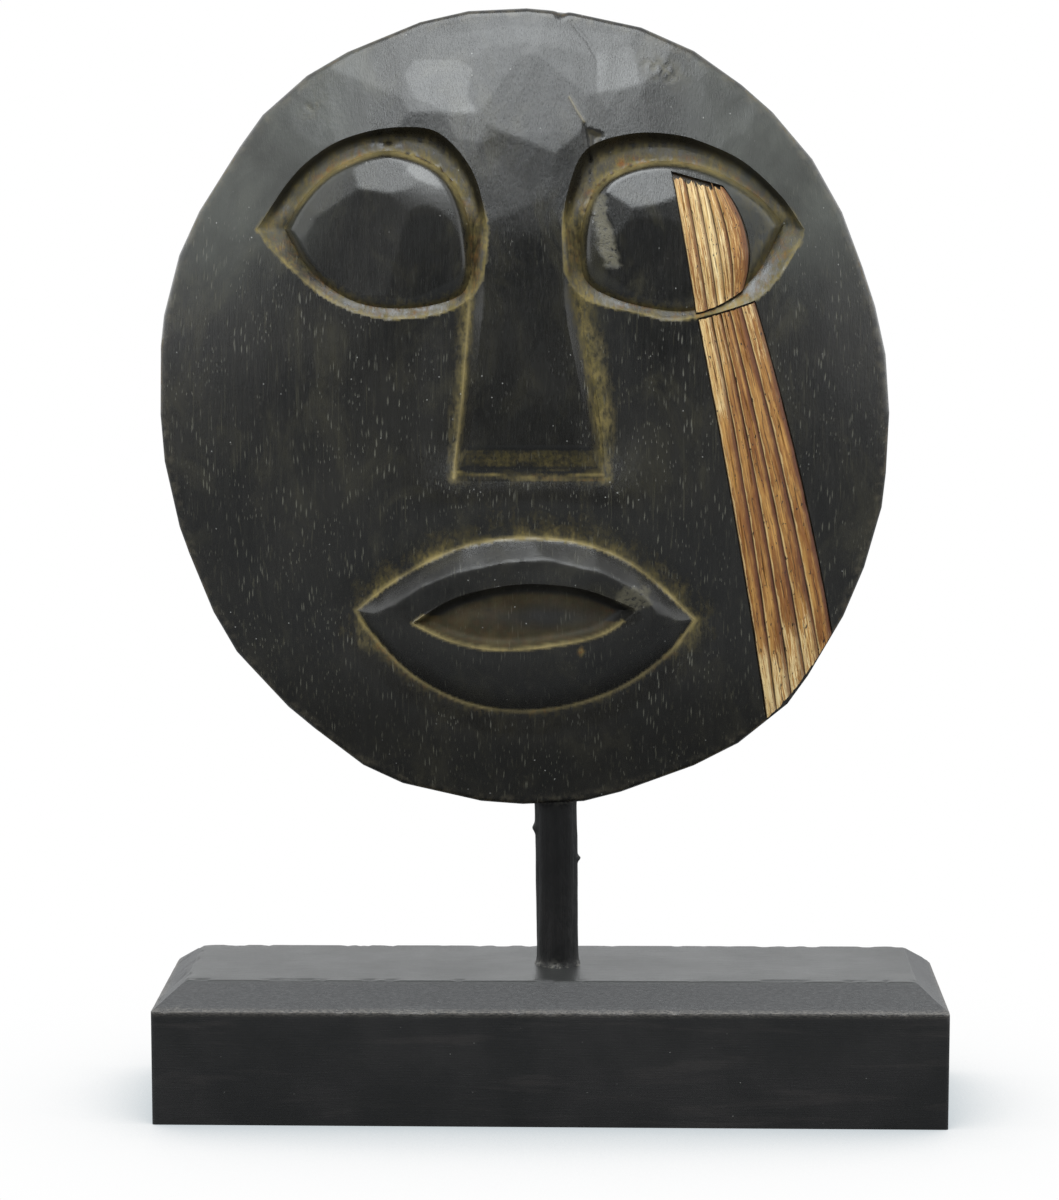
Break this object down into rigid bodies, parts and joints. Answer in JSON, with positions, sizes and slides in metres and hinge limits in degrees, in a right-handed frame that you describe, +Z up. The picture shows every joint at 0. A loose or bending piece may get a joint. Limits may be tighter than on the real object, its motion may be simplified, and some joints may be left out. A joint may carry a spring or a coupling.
{
  "type": "carved wooden face mask on stand",
  "caption": "Round carved wooden face mask with split-cane rods inlaid over one eye and cheek, held up on a short round post in a chamfered rectangular base block.",
  "frame": {"origin": "middle of the base block's underside, on the surface it stands on", "axes": "+Z up, the carved face looks towards -Y, +X to the viewer's right when facing it"},
  "size_m": [0.245, 0.07, 0.3407],
  "materials": {
    "stained_wood": "near-black stain over open-pored hardwood, waxed to a soft gloss, with an ochre wash left in the carved grooves",
    "stained_post_wood": "near-black stain on a whittled dowel, satin, with small nubs",
    "stained_base_wood": "charcoal stain on a hand-sawn block, satin, fine grain showing on the chamfers",
    "split_cane": "bare split cane, straw to honey brown with dark specks, whittled pale at the lower ends"
  },
  "bodies": {
    "root": {"mask_body": "stained_wood", "post": "stained_post_wood", "base_block": "stained_base_wood", "cheek_rod_1": "split_cane", "cheek_rod_2": "split_cane", "cheek_rod_3": "split_cane", "cheek_rod_4": "split_cane", "cheek_rod_5": "split_cane", "eye_rod_1": "split_cane", "eye_rod_2": "split_cane", "eye_rod_3": "split_cane", "eye_rod_4": "split_cane", "eye_rod_5": "split_cane"}
  },
  "joints": []
}
